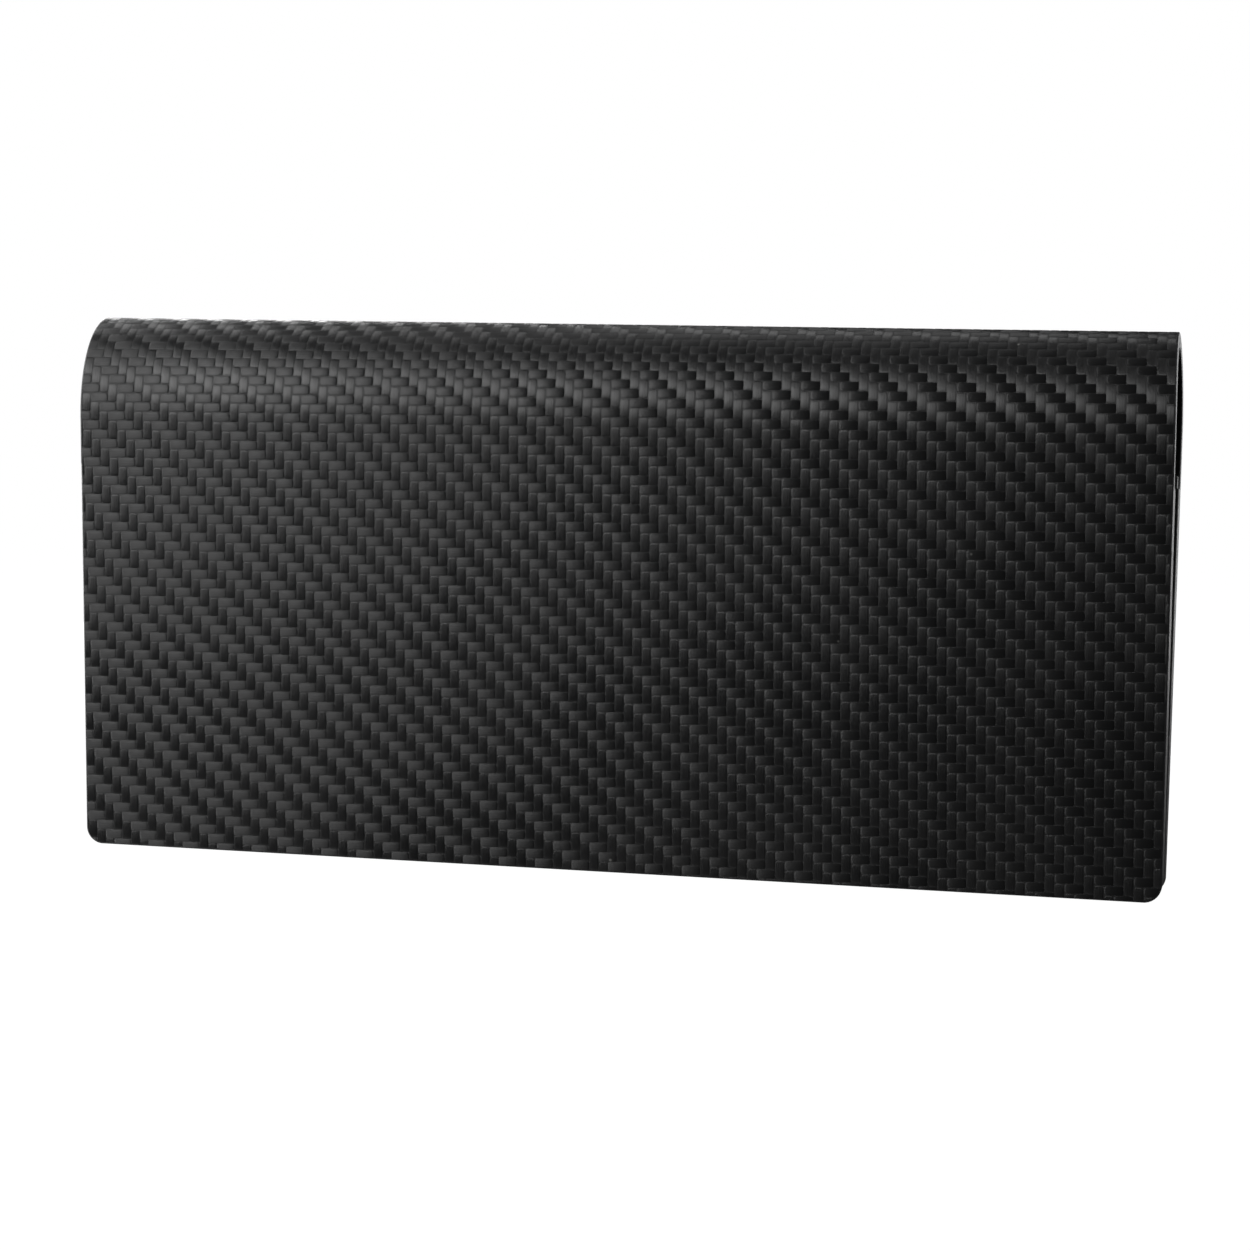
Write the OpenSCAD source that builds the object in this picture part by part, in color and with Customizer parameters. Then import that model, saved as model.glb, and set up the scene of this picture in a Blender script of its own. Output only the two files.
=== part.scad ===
// Long bifold wallet of embossed leather, standing on its open edges with the fold on top.
// X runs along the fold, the front leaf faces -Y, +Z is up, and the origin is under the middle.

/* [Overall size] */
// Length along the fold
wallet_w = 190; // [180:1:200]
// Height from the open edges to the top of the fold
wallet_h = 94; // [90:0.5:98]
// Thickness across the fold, where it is widest
fold_t = 22; // [21:0.5:24]
// Thickness across both leaves at the open edges
open_t = 12; // [12:0.1:13]
// Height of the rounded part at the fold, which is half an ellipse
fold_h = 18; // [16:0.5:19]
// Radius of the free corners of each leaf
corner_r = 3; // [2.5:0.5:6]

/* [Leather and layers] */
// Thickness of the embossed outer leather
cover_t = 1.4; // [1.2:0.1:1.4]
// Thickness of the flexible backing sheet
backing_t = 0.6; // [0.5:0.1:0.6]
// Thickness of the lining
lining_t = 0.6; // [0.5:0.1:0.6]
// Thickness of the paint on the cut edges
paint_t = 0.3; // [0.2:0.05:0.4]
// Thickness of a pocket panel
panel_t = 0.6; // [0.5:0.1:0.6]
// Free depth of a banknote pocket
note_gap = 0.5; // [0.4:0.1:0.5]
// Width of the glued and sewn border around each pocket
border_w = 4; // [3:0.5:5]

/* [Card slots] */
// Rows of card slots in each column
slot_rows = 3; // [3:1:3]
// Thickness of one card slot layer
slot_t = 0.55; // [0.4:0.05:0.55]
// Height of the highest card slot mouth
slot_top = 62; // [60:1:64]
// Drop from one mouth to the next
slot_step = 11; // [9:1:12]
// Depth of a card slot
slot_depth = 50; // [48:1:50]
// Gap between the two columns
column_gap = 1.2; // [0.8:0.1:2]
// Height of the front banknote panel
note_top = 68; // [66:1:70]

/* [Coin pocket] */
// Height of the coin pocket, up to its zip
pouch_top = 70; // [68:1:71]
// Width of the open mouth of the coin pocket
mouth_w = 8.5; // [8:0.1:9]
// Length of the coin pocket between its gussets
pouch_w = 174; // [150:1:176]

/* [Zip] */
// Width of one coil
coil_w = 1.7; // [1.5:0.1:1.8]
// Height of one coil
coil_h = 1.5; // [1.3:0.1:1.6]
// Thickness of the zip tape
tape_t = 0.4; // [0.3:0.05:0.45]
// Length of the slider
slider_l = 9; // [8:0.5:10]
// Width of the slider
slider_w = 6.4; // [6:0.1:6.6]
// Length of the pull tab, from its pivot to its tip
pull_l = 12; // [9:0.5:12]
// Width of the pull tab
pull_w = 4; // [3.6:0.1:4.2]

/* [Hidden] */

$fn = 48;
eps = 0.01;

// The straight part of a leaf leans outwards from the open edge to the fold.
straight_h = wallet_h - fold_h;
lean = (fold_t - open_t) / 2 / straight_h;
lean_angle = atan(lean);

// Depths of the layers under the outer face of a leaf.
backing_in = cover_t;
lining_in = backing_in + backing_t;
pocket_in = lining_in + lining_t;
panel_in = pocket_in + note_gap;
slots_in = panel_in + panel_t;
stack_t = slots_in + slot_rows * slot_t;

// The rounded part is drawn in steps of an angle that runs from 0 where it starts to 90 on top.
fold_steps = 24;
function rise(a) = straight_h + fold_h * sin(a);
function outer_point(a) = [-(open_t / 2 + lean * rise(a)) * cos(a), rise(a)];
function direction(a) =
    a < 0.5 ? [-sin(lean_angle), cos(lean_angle)] :
    a > 89.5 ? [1, 0] :
    let (d = outer_point(a + 0.5) - outer_point(a - 0.5)) d / norm(d);
function skin_point(a, depth) =
    let (d = direction(a)) outer_point(a) + depth * [d[1], -d[0]];
// Place across the leaf of the plane that lies at a depth under the outer face.
function face_y(z, depth) = -(open_t / 2 + lean * z) + depth / cos(lean_angle);

// Each leaf turns on a line just outside the fold, set so that the open wallet lies flat.
function arc_length(i) =
    i >= 90 ? 0 : norm(outer_point(i + 1) - outer_point(i)) + arc_length(i + 1);
half_fold = arc_length(0);
hinge_up = (half_fold + fold_h - fold_t / 2) / 2;
hinge_y = (half_fold - fold_h + fold_t / 2) / 2;
split_angle = asin(hinge_up / fold_h);
split_gap = 1;

// Coin pocket and zip, seen on the front leaf's side and then mirrored to the back leaf.
wall_foot = 3;
mouth_y = face_y(pouch_top, slots_in) + mouth_w;
zip_y = mouth_y - mouth_w / 2;
foot_gap = stack_t - slots_in - panel_t + 0.15;
coil_gap = 0.6;
coil_l = pouch_w - 6;
run_gap = 0.25;
plate_t = 0.8;
tape_z = pouch_top + 0.1;
coil_z = tape_z + tape_t;
plate_z = coil_z + coil_h + 0.2;
slider_x = coil_l / 2 - slider_l / 2 - 0.7;
pivot_z = plate_z + plate_t + 0.75;
bar_r = 0.55;
bail_r = 1.35;
pull_t = 1;

leather = "#2b2c2e";
smooth_leather = "#242426";
board = "#6b5a48";
paint = "#4a4b4d";
tape_black = "#1b1c1e";
metal = "#8d9094";

// Turns a side view, with depth first and height second, into a solid along X.
module along_x(width) {
    rotate([90, 0, 90]) linear_extrude(height = width, center = true) children();
}

// The outline of a leaf seen from the front, inset from its three cut edges.
module leaf_outline(inset) {
    w = wallet_w / 2 - inset;
    r = corner_r - inset;
    translate([-w, inset + r]) square([2 * w, 2 * wallet_h]);
    translate([-w + r, inset]) square([2 * (w - r), r + eps]);
    for (side = [-1, 1]) translate([side * (w - r), inset + r]) circle(r);
}

module leaf_slab(inset) {
    rotate([90, 0, 0]) linear_extrude(height = 4 * fold_t, center = true) leaf_outline(inset);
}

// A sheet between two depths, up the leaf and round the shoulder to the split of the fold.
module leaf_skin(depth_a, depth_b, inset) {
    top = split_angle - split_gap;
    steps = [for (i = [0 : fold_steps]) top * i / fold_steps];
    outer = [for (a = steps) skin_point(a, depth_a)];
    inner = [for (i = [fold_steps : -1 : 0]) skin_point(steps[i], depth_b)];
    intersection() {
        along_x(wallet_w) polygon(concat(
            [[face_y(0, depth_a), 0]], outer, inner, [[face_y(0, depth_b), 0]]));
        leaf_slab(inset);
    }
}

// The same sheet over the top of the fold, between the two splits.
module spine_skin(depth_a, depth_b, width) {
    start = split_angle + split_gap;
    steps = [for (i = [0 : fold_steps]) start + (90 - start) * i / fold_steps];
    half_a = [for (a = steps) skin_point(a, depth_a)];
    half_b = [for (a = steps) skin_point(a, depth_b)];
    last = fold_steps - 1;
    along_x(width) polygon(concat(
        half_a,
        [for (i = [last : -1 : 0]) [-half_a[i][0], half_a[i][1]]],
        [for (i = [0 : last]) [-half_b[i][0], half_b[i][1]]],
        [for (i = [fold_steps : -1 : 0]) half_b[i]]));
}

// A flat layer of a leaf between two depths, two heights and two places along X.
module leaf_layer(depth_a, depth_b, z_a, z_b, x_a, x_b, inset) {
    intersection() {
        translate([(x_a + x_b) / 2, 0, 0]) along_x(x_b - x_a) polygon([
            [face_y(z_a, depth_a), z_a], [face_y(z_b, depth_a), z_b],
            [face_y(z_b, depth_b), z_b], [face_y(z_a, depth_b), z_a]]);
        leaf_slab(inset);
    }
}

module back_leaf() {
    mirror([0, 1, 0]) children();
}

// A pocket panel, with a raised border on its outer side that keeps the banknote pocket open.
module note_panel(top) {
    w = wallet_w / 2;
    difference() {
        leaf_layer(pocket_in, slots_in, 0, top, -w, w, paint_t);
        leaf_layer(pocket_in - 1, panel_in, border_w, top + 1, border_w - w, w - border_w, paint_t);
    }
}

// The paint on the three cut edges: thick down the stack of layers, thin round the shoulder.
module edge_paint_leaf() {
    w = wallet_w / 2;
    difference() {
        union() {
            leaf_skin(0, pocket_in, 0);
            leaf_layer(pocket_in - 0.2, stack_t, 0, note_top, -w, w, 0);
        }
        leaf_slab(paint_t);
    }
}

module card_slot(side, row) {
    mouth = slot_top - (row - 1) * slot_step;
    bottom = max(mouth - slot_depth, 0);
    depth = slots_in + (row - 1) * slot_t;
    near = side * column_gap / 2;
    far = side * wallet_w / 2;
    leaf_layer(depth, depth + slot_t, bottom, mouth, min(near, far), max(near, far), paint_t);
}

// The side of the coin pocket: a web between the walls and a flange sewn into the leaf's edge.
module coin_gusset(side) {
    web = pouch_w / 2;
    near = side * (web + panel_t);
    edge = side * wallet_w / 2;
    leaf_layer(slots_in, stack_t, 0, pouch_top, min(near, edge), max(near, edge), paint_t);
    translate([side * (web + panel_t / 2), 0, 0]) along_x(panel_t) polygon([
        [face_y(wall_foot, slots_in), wall_foot],
        [face_y(pouch_top, slots_in), pouch_top],
        [mouth_y, pouch_top],
        [face_y(wall_foot, slots_in) + foot_gap, wall_foot]]);
}

// One tape: flat beside the coil, then turned down inside the pocket wall.
module zip_tape(side, wall_y, leg_y) {
    inner = zip_y + side * coil_gap / 2;
    leg_h = 8;
    translate([0, min(inner, wall_y), tape_z])
        translate([-pouch_w / 2, 0, 0]) cube([pouch_w, abs(wall_y - inner), tape_t]);
    translate([-pouch_w / 2, leg_y, tape_z - leg_h]) cube([pouch_w, tape_t, leg_h + eps]);
}

module zip_coil(side) {
    r = coil_h / 2;
    near = zip_y + side * coil_gap / 2;
    low = min(near, near + side * coil_w);
    along_x(coil_l) {
        translate([low + r, coil_z]) square([coil_w - 2 * r, coil_h]);
        for (y = [low + r, low + coil_w - r]) translate([y, coil_z + r]) circle(r, $fn = 24);
    }
}

module cover_back() {
    color(leather) back_leaf() leaf_skin(0, cover_t, paint_t);
}

module backing_back() {
    color(board) back_leaf() leaf_skin(backing_in, lining_in, 2);
}

module lining_back() {
    color(smooth_leather) back_leaf() leaf_skin(lining_in, pocket_in, paint_t);
}

module edge_paint_back() {
    color(paint) back_leaf() edge_paint_leaf();
}

module note_panel_back() {
    color(smooth_leather) back_leaf() note_panel(pouch_top);
}

module coin_front_wall() {
    color(smooth_leather) back_leaf() along_x(pouch_w + 2 * panel_t) polygon([
        [face_y(paint_t, slots_in), paint_t],
        [face_y(paint_t, slots_in) + foot_gap + panel_t, paint_t],
        [mouth_y + panel_t, pouch_top],
        [mouth_y, pouch_top],
        [face_y(wall_foot, slots_in) + foot_gap, wall_foot],
        [face_y(wall_foot, slots_in), wall_foot]]);
}

module coin_gusset_left() {
    color(smooth_leather) back_leaf() coin_gusset(-1);
}

module coin_gusset_right() {
    color(smooth_leather) back_leaf() coin_gusset(1);
}

module zip_tape_back() {
    color(tape_black) back_leaf()
        zip_tape(-1, face_y(pouch_top, panel_in), face_y(pouch_top - 8, slots_in) + 0.02);
}

module zip_tape_front() {
    color(tape_black) back_leaf() zip_tape(1, mouth_y + panel_t, mouth_y - 2 * tape_t);
}

module zip_coil_back() {
    color(tape_black) back_leaf() zip_coil(-1);
}

module zip_coil_front() {
    color(tape_black) back_leaf() zip_coil(1);
}

module zip_end_stops() {
    stop_l = 1.6;
    color(metal) back_leaf() for (side = [-1, 1])
        translate([side * (coil_l / 2 + stop_l / 2 + 0.1) - stop_l / 2, zip_y - 2.2, coil_z])
            cube([stop_l, 4.4, coil_h + 0.2]);
}

// Two plates round the chain, joined by a thin post between the coils, with a bail on top.
module zip_slider() {
    lower_z = tape_z - run_gap - plate_t;
    upper_top = plate_z + plate_t;
    flange = slider_w / 2 - coil_gap / 2 - coil_w - 0.2;
    color(metal) back_leaf() translate([slider_x, zip_y, 0]) {
        for (z = [lower_z, plate_z]) translate([0, 0, z]) linear_extrude(height = plate_t) {
            translate([-slider_l / 2, 1.4 - slider_w / 2]) square([slider_l, slider_w - 2.8]);
            translate([1.4 - slider_l / 2, -slider_w / 2]) square([slider_l - 2.8, slider_w]);
            for (x = [-1, 1], y = [-1, 1])
                translate([x * (slider_l / 2 - 1.4), y * (slider_w / 2 - 1.4)]) circle(1.4);
        }
        for (y = [-slider_w / 2, slider_w / 2 - flange])
            translate([1 - slider_l / 2, y, coil_z + run_gap])
                cube([slider_l - 2, flange, plate_z - coil_z - run_gap + eps]);
        translate([slider_l / 2 - 3.6, -0.18, lower_z]) cube([2.8, 0.36, upper_top - lower_z]);
        difference() {
            union() {
                translate([0, 0.6, pivot_z]) rotate([90, 0, 0]) cylinder(r = bail_r, h = 1.2);
                translate([-bail_r, -0.6, upper_top - eps])
                    cube([2 * bail_r, 1.2, pivot_z - upper_top + eps]);
            }
            translate([0, 1, pivot_z]) rotate([90, 0, 0]) cylinder(r = 0.8, h = 2);
            translate([-0.8, -1, upper_top]) cube([1.6, 2, pivot_z - upper_top]);
        }
    }
}

// A flat tab with a window for the bail and a round cross bar that turns under it.
module zip_pull() {
    arm_w = (pull_w - 1.8) / 2;
    tab_start = bail_r + 0.35;
    tip_r = pull_w / 2;
    color(metal) back_leaf() translate([slider_x, zip_y, pivot_z]) {
        translate([0, pull_w / 2, 0]) rotate([90, 0, 0]) cylinder(r = bar_r, h = pull_w);
        for (side = [-1, 1])
            translate([-tab_start - eps, side * (pull_w - arm_w) / 2 - arm_w / 2, -pull_t / 2])
                cube([tab_start + eps, arm_w, pull_t]);
        translate([0, 0, -pull_t / 2]) linear_extrude(height = pull_t) {
            translate([tip_r - pull_l, -pull_w / 2]) square([pull_l - tip_r - tab_start, pull_w]);
            translate([tip_r - pull_l, 0]) circle(tip_r);
        }
    }
}

module cover_spine() {
    color(leather) spine_skin(0, cover_t, wallet_w - 2 * paint_t);
}

module backing_spine() {
    color(board) spine_skin(backing_in, lining_in, wallet_w - 4);
}

module lining_spine() {
    color(smooth_leather) spine_skin(lining_in, pocket_in, wallet_w - 2 * paint_t);
}

module edge_paint_spine() {
    color(paint) for (side = [-1, 1])
        translate([side * (wallet_w - paint_t) / 2, 0, 0]) spine_skin(0, pocket_in, paint_t);
}

module cover_front() {
    color(leather) leaf_skin(0, cover_t, paint_t);
}

module backing_front() {
    color(board) leaf_skin(backing_in, lining_in, 2);
}

module lining_front() {
    color(smooth_leather) leaf_skin(lining_in, pocket_in, paint_t);
}

module edge_paint_front() {
    color(paint) edge_paint_leaf();
}

module note_panel_front() {
    color(smooth_leather) note_panel(note_top);
}

module card_slot_left(row) {
    color(smooth_leather) card_slot(-1, row);
}

module card_slot_right(row) {
    color(smooth_leather) card_slot(1, row);
}

cover_back();
backing_back();
lining_back();
edge_paint_back();
note_panel_back();
coin_front_wall();
coin_gusset_left();
coin_gusset_right();
zip_tape_back();
zip_tape_front();
zip_coil_back();
zip_coil_front();
zip_end_stops();
zip_slider();
zip_pull();
cover_spine();
backing_spine();
lining_spine();
edge_paint_spine();
cover_front();
backing_front();
lining_front();
edge_paint_front();
note_panel_front();
card_slot_left(1);  // card_slot_left_1
card_slot_left(2);  // card_slot_left_2
card_slot_left(3);  // card_slot_left_3
card_slot_right(1);  // card_slot_right_1
card_slot_right(2);  // card_slot_right_2
card_slot_right(3);  // card_slot_right_3
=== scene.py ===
import math

import bmesh
import bpy
import numpy as np
from mathutils import Matrix, Vector


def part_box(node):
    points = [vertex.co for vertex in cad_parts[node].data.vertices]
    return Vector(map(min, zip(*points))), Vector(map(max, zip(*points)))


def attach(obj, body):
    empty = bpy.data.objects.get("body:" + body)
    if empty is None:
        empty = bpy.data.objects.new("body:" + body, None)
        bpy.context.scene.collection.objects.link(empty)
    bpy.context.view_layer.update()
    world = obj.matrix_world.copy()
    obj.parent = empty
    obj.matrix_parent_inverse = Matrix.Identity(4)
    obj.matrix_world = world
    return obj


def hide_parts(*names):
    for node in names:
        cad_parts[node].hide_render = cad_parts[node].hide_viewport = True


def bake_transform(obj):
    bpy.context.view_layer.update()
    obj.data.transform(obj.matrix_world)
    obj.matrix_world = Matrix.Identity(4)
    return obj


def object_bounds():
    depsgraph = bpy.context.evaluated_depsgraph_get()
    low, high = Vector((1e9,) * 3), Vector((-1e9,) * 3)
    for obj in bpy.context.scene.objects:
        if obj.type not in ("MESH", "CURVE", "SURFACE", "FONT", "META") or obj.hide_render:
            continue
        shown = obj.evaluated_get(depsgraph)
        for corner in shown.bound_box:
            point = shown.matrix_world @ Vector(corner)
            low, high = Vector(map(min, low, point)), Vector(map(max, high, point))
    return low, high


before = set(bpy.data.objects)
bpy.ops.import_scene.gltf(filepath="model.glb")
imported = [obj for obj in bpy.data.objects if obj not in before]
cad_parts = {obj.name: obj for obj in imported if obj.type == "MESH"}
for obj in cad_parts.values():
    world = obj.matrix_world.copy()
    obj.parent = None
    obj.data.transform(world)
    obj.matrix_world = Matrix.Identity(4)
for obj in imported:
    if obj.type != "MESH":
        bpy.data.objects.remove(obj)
cad_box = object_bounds()
low, high = (Vector(corner) for corner in cad_box)
mm = 0.001

# --- Camera -------------------------------------------------------------------------------
# A long lens a little to the right of the wallet and just above it, held slightly out of
# level. It aims at a point near the middle of the front leaf.
camera_azimuth, camera_elevation, camera_roll = (math.radians(a) for a in (13.46, 3.5, 1.3))
camera_distance = 0.5184
camera_aim = Vector(((low.x + high.x) / 2 + 1.81 * mm, 0, low.z + 42.3 * mm))
camera_back = Vector((
    math.sin(camera_azimuth) * math.cos(camera_elevation),
    -math.cos(camera_azimuth) * math.cos(camera_elevation),
    math.sin(camera_elevation)))
level_right = Vector((math.cos(camera_azimuth), math.sin(camera_azimuth), 0))
level_up = camera_back.cross(level_right)
camera_right = level_right * math.cos(camera_roll) + level_up * math.sin(camera_roll)
camera_up = level_up * math.cos(camera_roll) - level_right * math.sin(camera_roll)
camera_data = bpy.data.cameras.new("camera")
camera_data.lens, camera_data.sensor_width = 86.4, 36
camera_data.clip_start, camera_data.clip_end = 0.01, 50
camera = bpy.data.objects.new("camera", camera_data)
bpy.context.collection.objects.link(camera)
turn = Matrix((camera_right, camera_up, camera_back)).transposed()
camera.matrix_world = Matrix.Translation(camera_aim + camera_back * camera_distance) @ turn.to_4x4()
bpy.context.scene.camera = camera

# --- Cover --------------------------------------------------------------------------------
# One long piece of split cowhide, 1.4 mm thick, embossed by a heated roller with a twill of
# two-cell blocks and a fine thread line. It wraps the front leaf, the fold and the back leaf,
# and is shown as two halves that meet on top of the fold.
leaf_height = high.z - low.z
fold_rise = 18 * mm
straight_rise = leaf_height - fold_rise
half_fold, half_open = (high.y - low.y) / 2, 6 * mm
paint_thickness = 0.3 * mm
cover_thickness = 1.4 * mm
corner_radius = 3 * mm
waist = 0.45 * mm
lean_slope = (half_fold - half_open) / straight_rise
fold_angles = np.radians(np.linspace(90, 0, 361))
fold_z = straight_rise + fold_rise * np.sin(fold_angles)
fold_y = -(half_open + lean_slope * fold_z) * np.cos(fold_angles)
fold_z = np.append(fold_z, low.z)
fold_y = np.append(fold_y, -half_open)
fold_down = np.append(0, np.cumsum(np.hypot(np.diff(fold_y), np.diff(fold_z))))
leaf_down = fold_down[-1]
fold_down_end = fold_down[-2]
step_tilt = np.arctan2(np.diff(fold_y), np.diff(fold_z)) + math.pi
step_middle = (fold_down[1:] + fold_down[:-1]) / 2
step_middle[-1] = fold_down_end + 0.1 * mm


def wrap_leaf(mesh, back):
    """Bends a flat pattern round the leaf: x along the fold, y up to the fold line, z outwards."""
    flat = np.zeros(len(mesh.vertices) * 3)
    mesh.vertices.foreach_get("co", flat)
    flat = flat.reshape(-1, 3)
    down = -flat[:, 1]
    tilt = np.interp(down, step_middle, step_tilt)
    y = np.interp(down, fold_down, fold_y) - flat[:, 2] * np.cos(tilt)
    z = np.interp(down, fold_down, fold_z) + flat[:, 2] * np.sin(tilt)
    narrow = waist * np.clip((z - straight_rise) / fold_rise, 0, 1) ** 2
    x = flat[:, 0] * (1 - narrow / high.x)
    turned = -1 if back else 1
    mesh.vertices.foreach_set("co", np.stack([turned * x, turned * y, z], 1).ravel())
    mesh.update()


def trim_leaf(bm, edge, radius):
    """Cuts a flat pattern to the leaf's outline, set in from the cut edges, with round corners."""
    half = high.x - edge
    bottom = edge - leaf_down
    cuts = [((0, 0, 0), (0, 1, 0)), ((0, bottom, 0), (0, -1, 0)),
            ((half, 0, 0), (1, 0, 0)), ((-half, 0, 0), (-1, 0, 0))]
    for side in (-1, 1):
        for step in range(1, 8):
            a = math.radians(90 * step / 8)
            out = Vector((side * math.cos(a), -math.sin(a), 0))
            cuts.append((Vector((side * (half - radius), bottom + radius, 0)) + out * radius, out))
    for point, out in cuts:
        everything = bm.verts[:] + bm.edges[:] + bm.faces[:]
        bmesh.ops.bisect_plane(
            bm, geom=everything, dist=1e-7, plane_co=point, plane_no=out, clear_outer=True)


def close_under(bm, thickness, bend_cuts):
    """Gives a flat pattern its thickness and a plain underside that can follow the fold."""
    rim = [e for e in bm.edges if e.is_boundary]
    wall = bmesh.ops.extrude_edge_only(bm, edges=rim)["geom"]
    under = [v for v in wall if isinstance(v, bmesh.types.BMVert)]
    for v in under:
        v.co.z = -thickness
    under_edges = [e for e in wall if isinstance(e, bmesh.types.BMEdge) and e.is_boundary]
    flap = bmesh.ops.contextual_create(bm, geom=under_edges)["faces"]
    for cut in bend_cuts:
        flap = [f for f in bm.faces if all(abs(v.co.z + thickness) < 1e-7 for v in f.verts)]
        around = {e for f in flap for e in f.edges} | {v for f in flap for v in f.verts}
        bmesh.ops.bisect_plane(
            bm, geom=list(around) + flap, dist=1e-7, plane_co=(0, cut, 0), plane_no=(0, 1, 0))
    bmesh.ops.recalc_face_normals(bm, faces=bm.faces[:])


def cut_across(bm, point, way=(0, 1, 0)):
    """Cuts new edges into a flat pattern along a line through a point."""
    everything = bm.verts[:] + bm.edges[:] + bm.faces[:]
    bmesh.ops.bisect_plane(bm, geom=everything, dist=1e-7, plane_co=point, plane_no=way)


bend_lines = [-fold_down_end * (i + 0.5) / 20 for i in range(20)]
cell = 1.6225 * mm
block_shoulder = (0, 0.2, 0.8)
emboss_depth = 0.035 * mm
flat_rows, full_rows, flat_share = 3.0, 8.5, 0.3
roller_lean, roller_climb = -0.022, 0.0083
fold_column, fold_row = -2.4046, -35.35


def to_leather(column, row):
    """Place on the flat leather of a point counted in twill cells, x right and y up to the back."""
    across = column - fold_column - roller_lean * (row - fold_row)
    return Vector((across * cell, (fold_row + roller_climb * across - row) * cell, 0))


def block_height(column, row):
    """Height of the embossing, from 0 in a groove to 1 on top of a block."""
    i, j = math.floor(column + 1e-4), math.floor(row + 1e-4)
    in_column, in_row = column - i > 1e-3, row - j > 1e-3
    place = (i - j) % 4
    crown = {0: 0.8, 1: 1.0}
    if in_column and in_row:
        along = (column - i if place in (0, 1) else row - j)
        outer = along < 0.5 if place in (0, 3) else along > 0.5
        return crown[0] if outer else crown[1]
    if in_row and place == 1:
        return 1.0
    if in_column and place == 2:
        return 1.0
    return 0.0


def to_mesh(bm, name, crease=math.radians(35)):
    """Ends a shape: smooth shading, except across edges sharper than the crease."""
    for f in bm.faces:
        f.smooth = True
    for e in bm.edges:
        e.smooth = e.calc_face_angle(0) < crease
    mesh = bpy.data.meshes.new(name)
    bm.to_mesh(mesh)
    bm.free()
    return mesh


def emboss_cover(back):
    columns, rows = 126, 68
    first_column = math.floor(fold_column) - columns // 2
    first_row = math.floor(fold_row) - 2 if not back else math.floor(fold_row) + 3 - rows
    bm = bmesh.new()
    bmesh.ops.create_grid(bm, x_segments=3 * columns, y_segments=3 * rows, size=0.5)
    weave = bm.loops.layers.uv.new("weave")
    for v in bm.verts:
        i = round((v.co.x + 0.5) * 3 * columns)
        j = round((0.5 - v.co.y) * 3 * rows)
        column = first_column + i // 3 + block_shoulder[i % 3]
        row = first_row + j // 3 + block_shoulder[j % 3]
        v.co = to_leather(column, row)
        v.co.z = (block_height(column, row) - 1) * emboss_depth
    if back:
        bmesh.ops.rotate(bm, matrix=Matrix.Rotation(math.pi, 3, "Z"), verts=bm.verts)
    trim_leaf(bm, paint_thickness, corner_radius - paint_thickness)
    close_under(bm, cover_thickness, bend_lines)
    sign = -1 if back else 1
    for f in bm.faces:
        for loop in f.loops:
            x, y = sign * loop.vert.co.x, sign * loop.vert.co.y
            across = x / cell
            row = fold_row + roller_climb * across - y / cell
            loop[weave].uv = (across + fold_column + roller_lean * (row - fold_row), row)
    mesh = to_mesh(bm, "cover")
    wrap_leaf(mesh, back)
    return mesh


def add_piece(name, mesh, material):
    piece = bpy.data.objects.new(name, mesh)
    mesh.name = name
    bpy.context.collection.objects.link(piece)
    mesh.materials.append(material)
    return piece


def new_finish(name):
    material = bpy.data.materials.new(name)
    material.use_nodes = True
    tree = material.node_tree
    return material, tree, tree.nodes["Principled BSDF"]


def calc(tree, operation, *values):
    """One sum of a finish: a Math node fed by numbers or by other nodes' outputs."""
    node = tree.nodes.new("ShaderNodeMath")
    node.operation = operation
    for socket, value in zip(node.inputs, values):
        if isinstance(value, bpy.types.NodeSocket):
            tree.links.new(value, socket)
        else:
            socket.default_value = value
    return node.outputs[0]


def ramp(tree, value, start, end, low_value=0.0, high_value=1.0):
    """A smooth change of a finish between two values of something."""
    node = tree.nodes.new("ShaderNodeMapRange")
    node.interpolation_type = "SMOOTHSTEP"
    tree.links.new(value, node.inputs["Value"])
    for key, number in (("From Min", start), ("From Max", end),
                        ("To Min", low_value), ("To Max", high_value)):
        if isinstance(number, bpy.types.NodeSocket):
            tree.links.new(number, node.inputs[key])
        else:
            node.inputs[key].default_value = number
    return node.outputs["Result"]


def blend_colour(tree, amount, first, second):
    node = tree.nodes.new("ShaderNodeMix")
    node.data_type = "RGBA"
    tree.links.new(amount, node.inputs["Factor"])
    for socket, value in ((node.inputs["A"], first), (node.inputs["B"], second)):
        if isinstance(value, bpy.types.NodeSocket):
            tree.links.new(value, socket)
        else:
            socket.default_value = (*value, 1)
    return node.outputs["Result"]


def speckle(tree, coordinates, scale, detail=2.0, stretch=None):
    """Cloudy noise on a set of coordinates, stretched along each axis if asked."""
    if stretch:
        mapping = tree.nodes.new("ShaderNodeMapping")
        mapping.inputs["Scale"].default_value = stretch
        tree.links.new(coordinates, mapping.inputs["Vector"])
        coordinates = mapping.outputs["Vector"]
    node = tree.nodes.new("ShaderNodeTexNoise")
    node.inputs["Scale"].default_value = scale
    node.inputs["Detail"].default_value = detail
    tree.links.new(coordinates, node.inputs["Vector"])
    return node.outputs["Fac"]


def raise_surface(tree, height, distance):
    node = tree.nodes.new("ShaderNodeBump")
    node.inputs["Strength"].default_value = 1.0
    node.inputs["Distance"].default_value = distance
    tree.links.new(height, node.inputs["Height"])
    return node.outputs["Normal"]


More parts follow.
